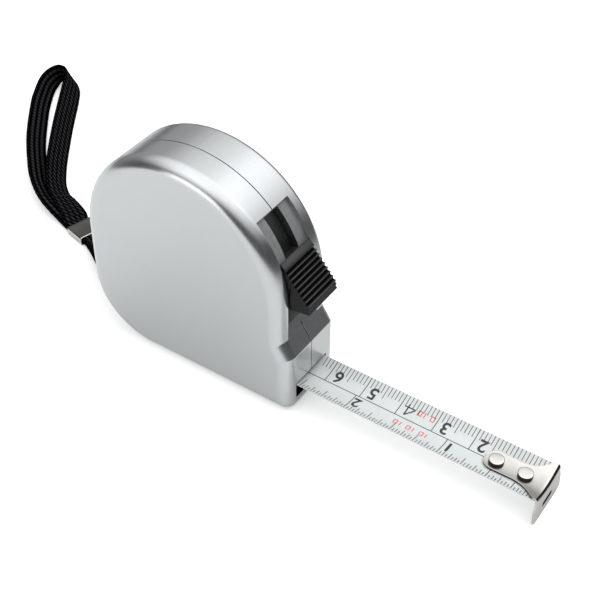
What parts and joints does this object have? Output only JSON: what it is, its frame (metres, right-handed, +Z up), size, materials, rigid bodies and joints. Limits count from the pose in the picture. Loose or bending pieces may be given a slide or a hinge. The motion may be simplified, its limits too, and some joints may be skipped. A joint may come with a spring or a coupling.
{
  "type": "tape measure",
  "caption": "Pocket retractable tape measure with a rounded silver case, cupped steel blade, riveted end hook, sliding thumb lock and knitted wrist strap.",
  "frame": {"origin": "on the flat base, straight under the reel's axis, in the plane where the two case halves meet", "axes": "+X the way the blade leaves the mouth, +Y along the reel's axis, +Z up from the base"},
  "size_m": [0.2168, 0.0857, 0.0619],
  "materials": {
    "case_silver": "satin metallic-painted ABS",
    "dark_steel": "blued spring steel and screws",
    "plated_steel": "polished nickel plate",
    "inner_white": "plain moulded plastic",
    "pad_rubber": "soft black rubber",
    "blade_enamel": "semi-gloss white enamel on spring steel",
    "button_black": "fine-grained black moulding",
    "strap_knit": "black knitted polyester band"
  },
  "bodies": {
    "case": {"case_left": "case_silver", "case_right": "case_silver", "case_screws": "dark_steel", "arbor_post": "plated_steel", "post_screw": "dark_steel", "liner_disc_left": "inner_white", "liner_disc_right": "inner_white", "brake_pad": "pad_rubber", "strap_pin": "plated_steel", "wrist_strap": "strap_knit", "strap_ferrule": "plated_steel"},
    "reel": {"spool_drum": "inner_white", "spool_flange_left": "inner_white", "spool_flange_right": "inner_white", "blade_anchor": "plated_steel", "blade_coil": "blade_enamel", "return_spring": "dark_steel"},
    "tape": {"tape_blade": "blade_enamel", "hook_backing": "plated_steel", "hook_rivets": "plated_steel"},
    "hook": {"end_hook": "plated_steel"},
    "lock": {"lock_button": "button_black", "lock_strip": "button_black"}
  },
  "joints": [
    {"name": "tape_slide", "type": "slide", "parent": "case", "child": "tape", "axis": [1, 0, 0], "range_m": [-0.063, 2.93], "deforming": ["tape_blade"]},
    {"name": "reel_spin", "type": "hinge", "parent": "case", "child": "reel", "pos_m": [0, 0, 0.0323], "axis": [0, -1, 0], "range_deg": [-220, 10080], "deforming": ["return_spring"]},
    {"name": "hook_float", "type": "slide", "parent": "tape", "child": "hook", "axis": [1, 0, 0], "range_m": [0, 0.0008]},
    {"name": "lock_slide", "type": "hinge", "parent": "case", "child": "lock", "pos_m": [0, 0, 0.0323], "axis": [0, -1, 0], "range_deg": [0, 18]}
  ],
  "couplings": [
    {"joint": "reel_spin", "follows": "tape_slide", "rad_per_m": 60}
  ]
}
